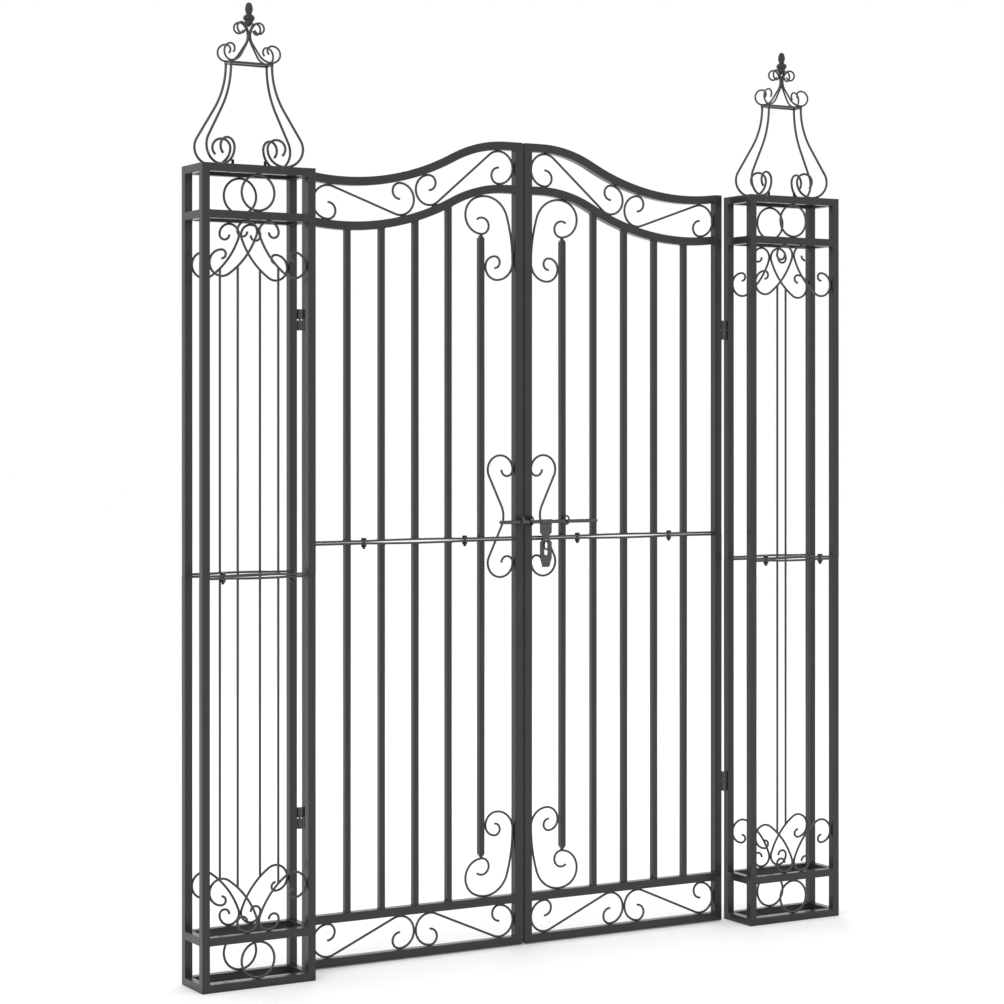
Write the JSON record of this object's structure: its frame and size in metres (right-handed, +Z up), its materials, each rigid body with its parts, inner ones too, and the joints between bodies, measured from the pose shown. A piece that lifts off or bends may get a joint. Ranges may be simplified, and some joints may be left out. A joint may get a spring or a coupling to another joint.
{
  "type": "garden gate",
  "caption": "Double-leaf garden gate with arched rails and scrollwork, hung between cage pillars with finials, with a slide bolt and padlock hasp.",
  "frame": {"origin": "on the ground, midway between the two leaves and in the middle of the pillars' depth", "axes": "+X towards the right pillar seen from the front, +Y to the back, +Z up"},
  "size_m": [1.92, 0.127, 2.405],
  "materials": {
    "frame_coat": "satin black powder coat on square steel tube",
    "scrollwork_coat": "satin black powder coat on bent steel wire",
    "flats_coat": "satin black powder coat on flat steel bar",
    "hardware_coat": "satin black powder coat, worn where parts rub",
    "spire_coat": "satin black powder coat on a small casting",
    "bolt_finish": "black coated fasteners",
    "hinge_pin_steel": "bare greased pin"
  },
  "bodies": {
    "pillars": {"finial_bolts": "bolt_finish", "hinge_pins": "hinge_pin_steel", "left_finial_cage": "scrollwork_coat", "left_finial_crown": "scrollwork_coat", "left_finial_spire": "spire_coat", "left_pillar_base_rails": "frame_coat", "left_pillar_base_scrolls": "scrollwork_coat", "left_pillar_head_rails": "frame_coat", "left_pillar_head_scrolls": "scrollwork_coat", "left_pillar_inner_posts": "frame_coat", "left_pillar_joint_flats": "flats_coat", "left_pillar_outer_posts": "frame_coat", "left_pillar_rings": "scrollwork_coat", "left_pillar_rods": "scrollwork_coat", "pillar_hinge_knuckles": "hardware_coat", "pillar_joint_bolts": "bolt_finish", "right_finial_cage": "scrollwork_coat", "right_finial_crown": "scrollwork_coat", "right_finial_spire": "spire_coat", "right_pillar_base_rails": "frame_coat", "right_pillar_base_scrolls": "scrollwork_coat", "right_pillar_head_rails": "frame_coat", "right_pillar_head_scrolls": "scrollwork_coat", "right_pillar_inner_posts": "frame_coat", "right_pillar_joint_flats": "flats_coat", "right_pillar_outer_posts": "frame_coat", "right_pillar_rings": "scrollwork_coat", "right_pillar_rods": "scrollwork_coat"},
    "left_leaf": {"left_leaf_arched_rails": "frame_coat", "left_leaf_bars": "frame_coat", "left_leaf_base_rails": "frame_coat", "left_leaf_base_scrolls": "scrollwork_coat", "left_leaf_corner_scrolls": "scrollwork_coat", "left_leaf_hinge_sleeves": "hardware_coat", "left_leaf_hinge_stile": "frame_coat", "left_leaf_joint_bolts": "bolt_finish", "left_leaf_joint_flats": "flats_coat", "left_leaf_keeper_ring": "hardware_coat", "left_leaf_lyre_scroll": "scrollwork_coat", "left_leaf_meeting_stile": "frame_coat", "left_leaf_pointed_bar": "frame_coat", "left_leaf_top_scrolls": "scrollwork_coat"},
    "right_leaf": {"right_leaf_arched_rails": "frame_coat", "right_leaf_bars": "frame_coat", "right_leaf_base_rails": "frame_coat", "right_leaf_base_scrolls": "scrollwork_coat", "right_leaf_corner_scrolls": "scrollwork_coat", "right_leaf_guide_rings": "hardware_coat", "right_leaf_hinge_sleeves": "hardware_coat", "right_leaf_hinge_stile": "frame_coat", "right_leaf_joint_bolts": "bolt_finish", "right_leaf_joint_flats": "flats_coat", "right_leaf_lyre_scroll": "scrollwork_coat", "right_leaf_meeting_stile": "frame_coat", "right_leaf_pointed_bar": "frame_coat", "right_leaf_top_scrolls": "scrollwork_coat", "padlock_staple": "hardware_coat"},
    "slide_bolt": {"slide_bolt": "hardware_coat"},
    "hasp": {"hasp_plate": "hardware_coat"}
  },
  "joints": [
    {"name": "left_leaf_hinge", "type": "hinge", "parent": "pillars", "child": "left_leaf", "pos_m": [-0.64675, 0.0525, 0.3845], "axis": [0, 0, 1], "range_deg": [-90, 90]},
    {"name": "right_leaf_hinge", "type": "hinge", "parent": "pillars", "child": "right_leaf", "pos_m": [0.64675, 0.0525, 0.3845], "axis": [0, 0, -1], "range_deg": [-90, 90]},
    {"name": "slide_bolt_travel", "type": "slide", "parent": "right_leaf", "child": "slide_bolt", "axis": [1, 0, 0], "range_m": [0, 0.08]},
    {"name": "hasp_swing", "type": "hinge", "parent": "right_leaf", "child": "hasp", "pos_m": [0.0595, 0.028, 1.114], "axis": [-1, 0, 0], "range_deg": [0, 100]}
  ]
}
